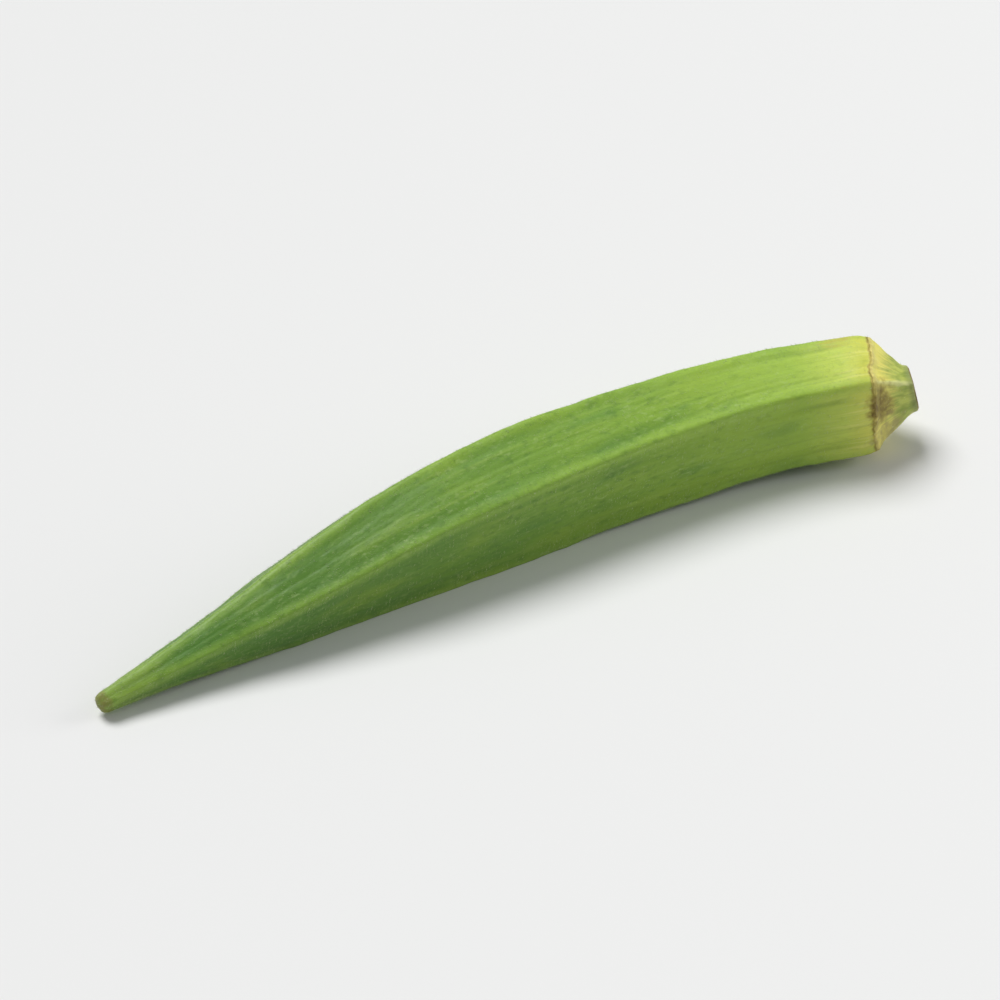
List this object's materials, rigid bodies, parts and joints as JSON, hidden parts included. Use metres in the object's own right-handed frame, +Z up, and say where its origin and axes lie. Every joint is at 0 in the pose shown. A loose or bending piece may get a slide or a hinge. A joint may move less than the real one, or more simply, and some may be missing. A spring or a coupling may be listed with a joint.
{
  "type": "okra pod",
  "caption": "Slender ridged green okra pod with a short cone-shaped cap, a cut stalk and a long tapering beak, lying on one facet.",
  "frame": {"origin": "on the table, under the middle of the pod's bounding box", "axes": "+X along the pod, from the beak towards the cut stalk; +Z up; the pod lies on one facet and its middle bows towards +Y"},
  "size_m": [0.1226, 0.0204, 0.0156],
  "materials": {
    "okra_skin": "satin"
  },
  "bodies": {
    "root": {"okra_pod": "okra_skin"}
  },
  "joints": []
}
